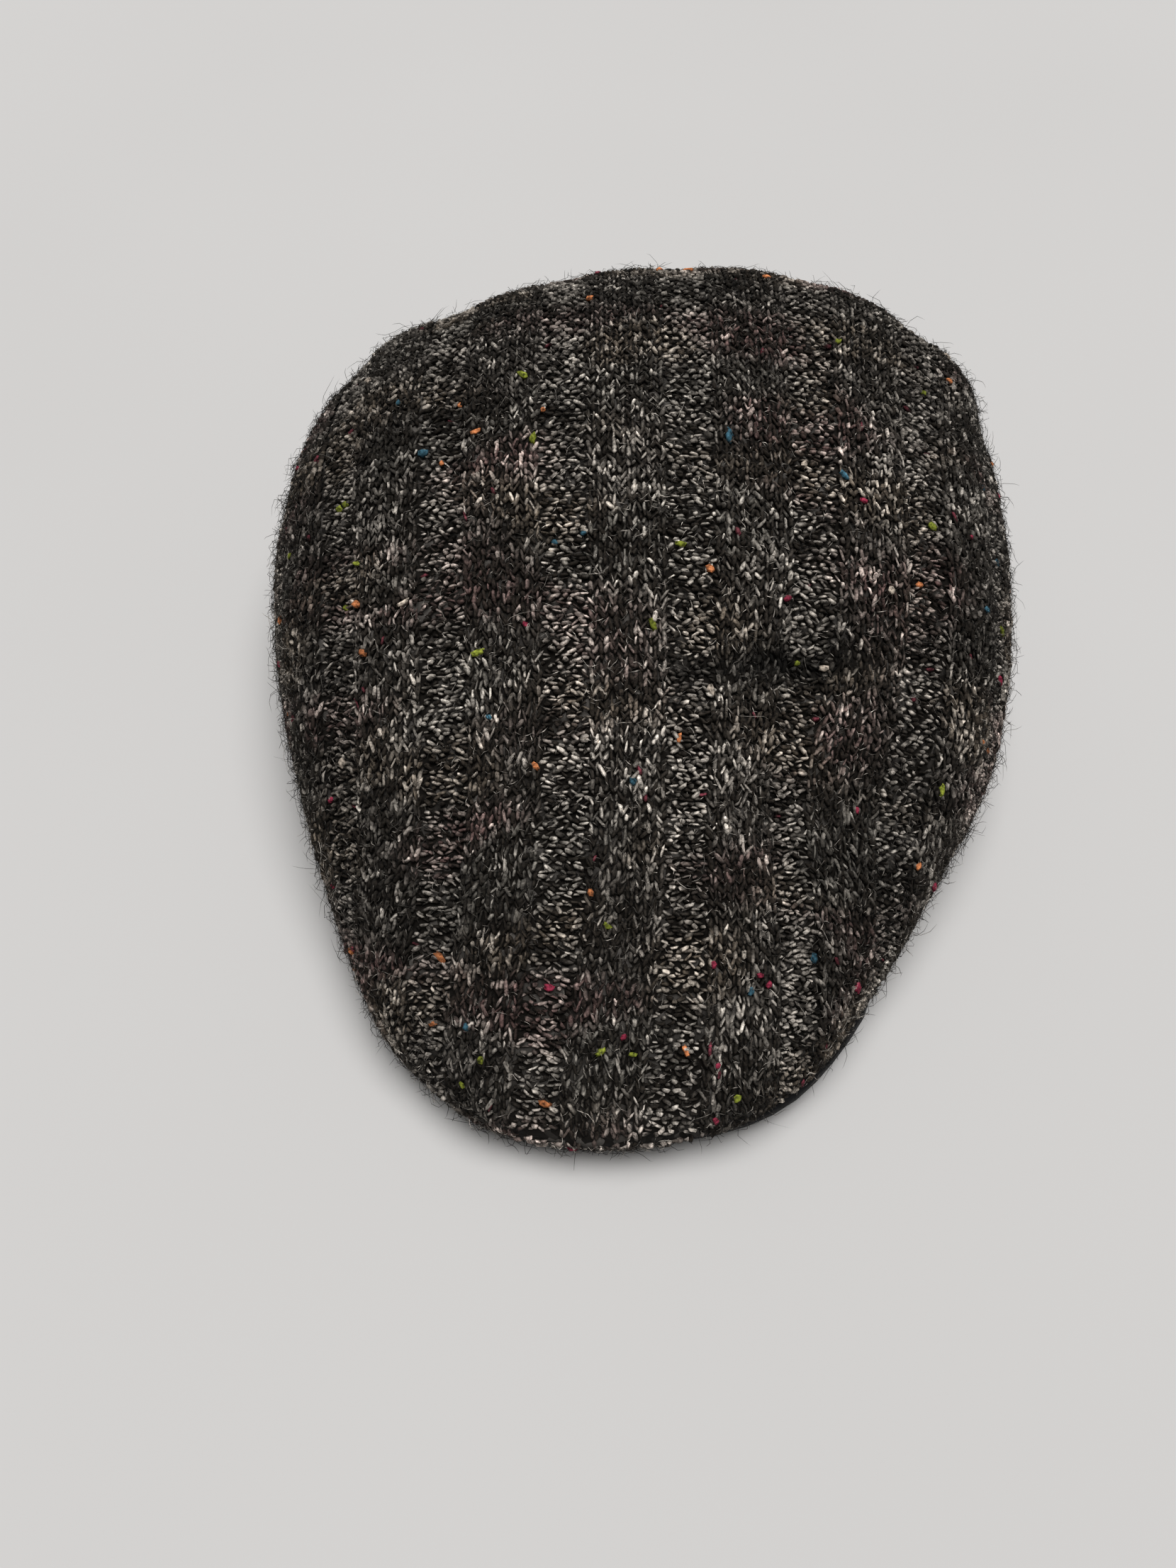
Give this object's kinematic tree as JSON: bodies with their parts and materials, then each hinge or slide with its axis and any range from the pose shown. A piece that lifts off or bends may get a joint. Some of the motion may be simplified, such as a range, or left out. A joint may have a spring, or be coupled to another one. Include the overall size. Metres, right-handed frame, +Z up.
{
  "type": "ribbed knit wool flat cap",
  "caption": "Soft flat cap in speckled charcoal wool knit with broad lengthwise ribs, its front running out over a short stiff black-lined peak.",
  "frame": {"origin": "bottom centre of the bounding box, on the surface the cap rests on", "axes": "+X to the right seen from the front, +Y from the peak to the back, +Z up"},
  "size_m": [0.2197, 0.277, 0.1002],
  "materials": {
    "wool_knit": "matt, fuzzy, speckled",
    "black_cloth": "smooth, faint sheen"
  },
  "bodies": {
    "root": {"crown": "wool_knit", "peak": "black_cloth"}
  },
  "joints": []
}
